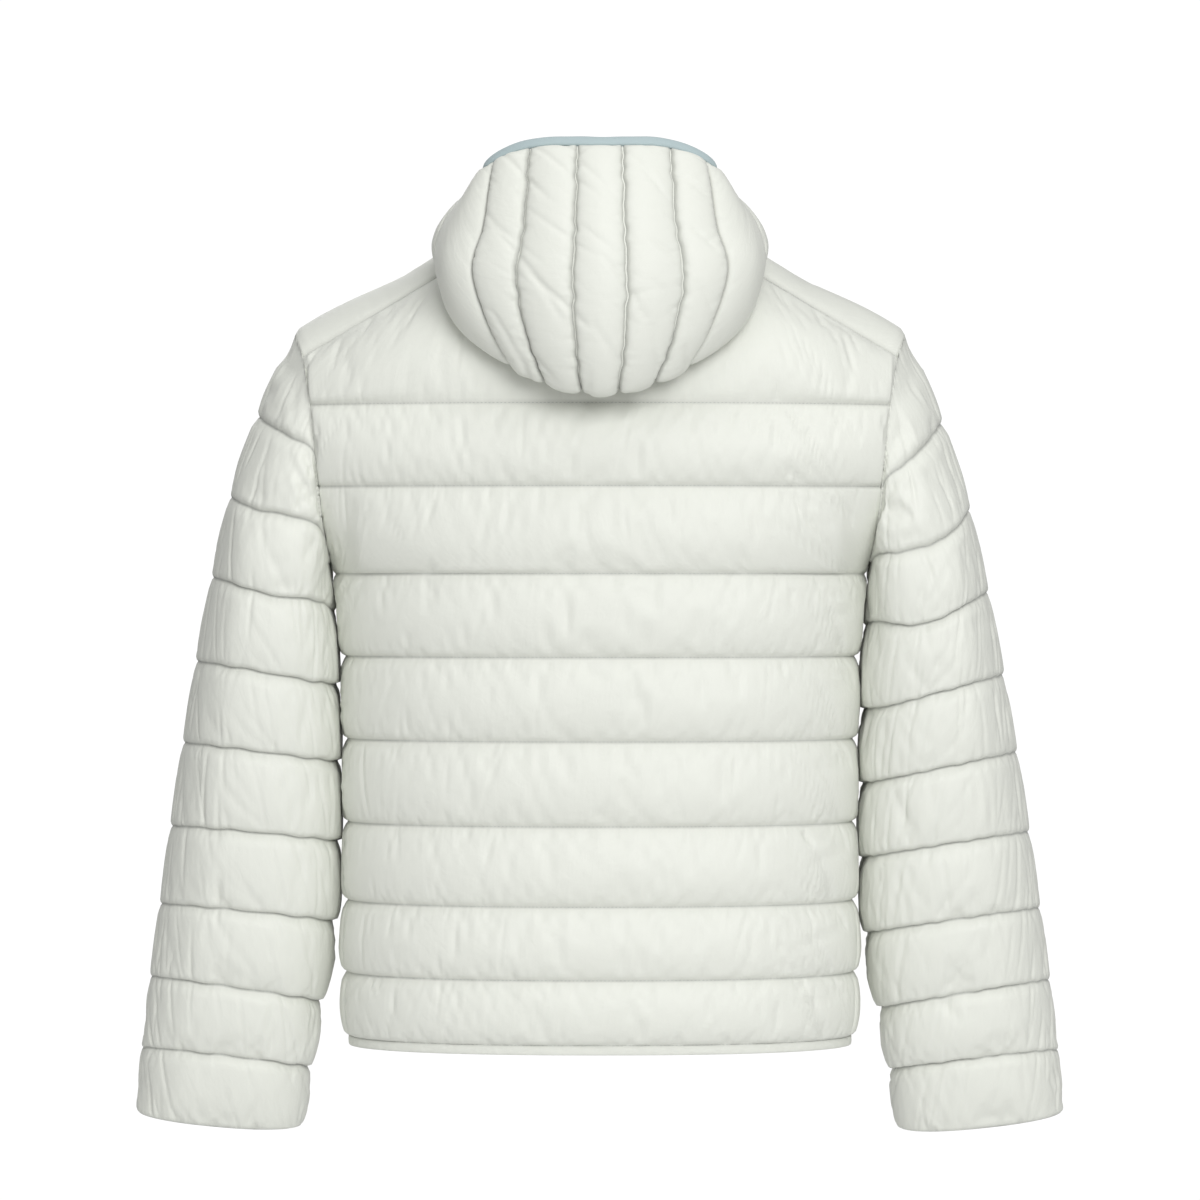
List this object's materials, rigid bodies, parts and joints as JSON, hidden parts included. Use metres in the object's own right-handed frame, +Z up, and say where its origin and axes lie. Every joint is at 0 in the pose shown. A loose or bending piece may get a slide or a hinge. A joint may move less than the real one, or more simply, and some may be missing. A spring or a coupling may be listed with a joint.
{
  "type": "hooded puffer jacket",
  "caption": "Pale grey quilted puffer jacket, filled out as worn, hood down behind the neck, zip closed, sleeves hanging at the sides.",
  "frame": {"origin": "middle of the neck base, level with where the shoulders meet the neck, where the wearer holds the jacket up", "axes": "+Z up, -Y towards the front of the jacket, +X towards the wearer's left"},
  "size_m": [0.8018, 0.313, 0.8421],
  "materials": {
    "shell": "pale grey-white nylon, fine plain weave, soft sheen",
    "elastic": "blue-grey knitted elastic binding",
    "zip_tape": "woven zip tape, pale grey",
    "zip_metal": "satin grey"
  },
  "bodies": {
    "jacket": {"back_panel": "shell", "front_left": "shell", "front_right": "shell", "sleeve_left": "shell", "sleeve_right": "shell", "hood_centre": "shell", "hood_side_left": "shell", "hood_side_right": "shell", "hood_binding": "elastic", "zip_tape_left": "zip_tape", "zip_tape_right": "zip_tape", "zip_slider": "zip_metal"},
    "pull": {"zip_pull": "zip_metal"}
  },
  "joints": [
    {"name": "pull_swing", "type": "hinge", "parent": "jacket", "child": "pull", "pos_m": [0, -0.09277, -0.014], "axis": [-1, 0, 0], "range_deg": [0, 165]}
  ]
}
